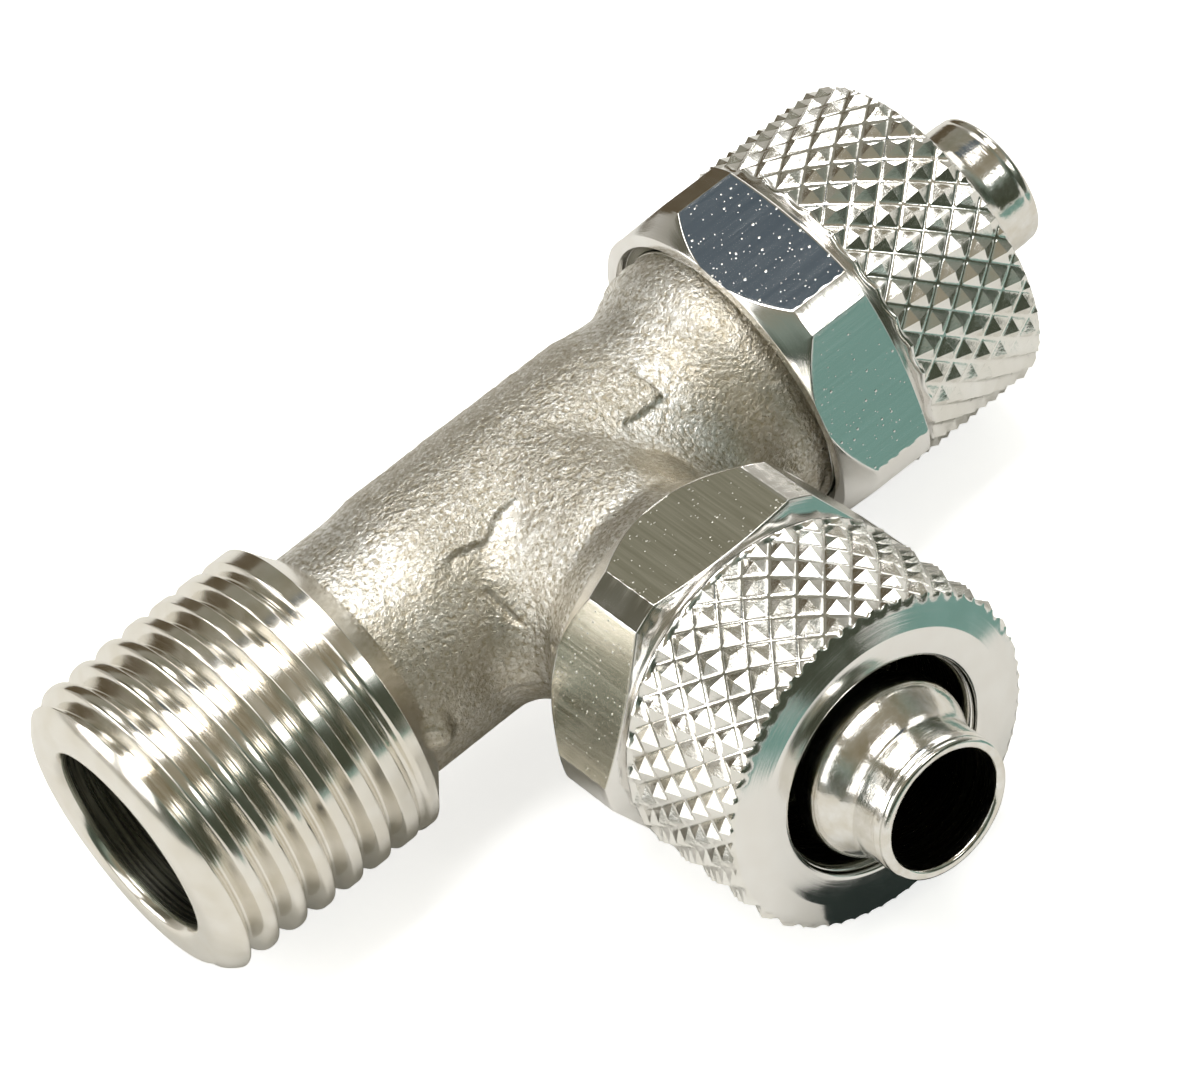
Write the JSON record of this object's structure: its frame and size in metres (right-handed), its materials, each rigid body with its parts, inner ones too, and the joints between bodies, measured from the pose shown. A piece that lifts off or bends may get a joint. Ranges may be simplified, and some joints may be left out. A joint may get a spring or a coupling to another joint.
{
  "type": "push-on tube fitting",
  "caption": "Male run tee for plastic air tube: taper pipe thread, two spigots with knurled hex union nuts.",
  "frame": {"origin": "centre of the inlet thread's end face, at the mouth of the inlet bore", "axes": "+X along the run from the inlet to the run nut, -Y along the branch from the body to the branch nut, +Z normal to the plane of the tee"},
  "size_m": [0.0445, 0.0312, 0.015],
  "materials": {
    "blasted_body": "nickel plated over sand-blasted forging, satin",
    "plated_nut": "nickel plated, turned and bright"
  },
  "bodies": {
    "body": {"tee_body": "blasted_body"},
    "run_union": {"run_nut": "plated_nut"},
    "branch_union": {"branch_nut": "plated_nut"}
  },
  "joints": [
    {"name": "run_nut_turn", "type": "hinge", "parent": "body", "child": "run_union", "pos_m": [0.0356, 0, 0], "axis": [1, 0, 0], "range_deg": [-680, 1230]},
    {"name": "branch_nut_turn", "type": "hinge", "parent": "body", "child": "branch_union", "pos_m": [0.0208, -0.0148, 0], "axis": [0, -1, 0], "range_deg": [-680, 1230]}
  ]
}
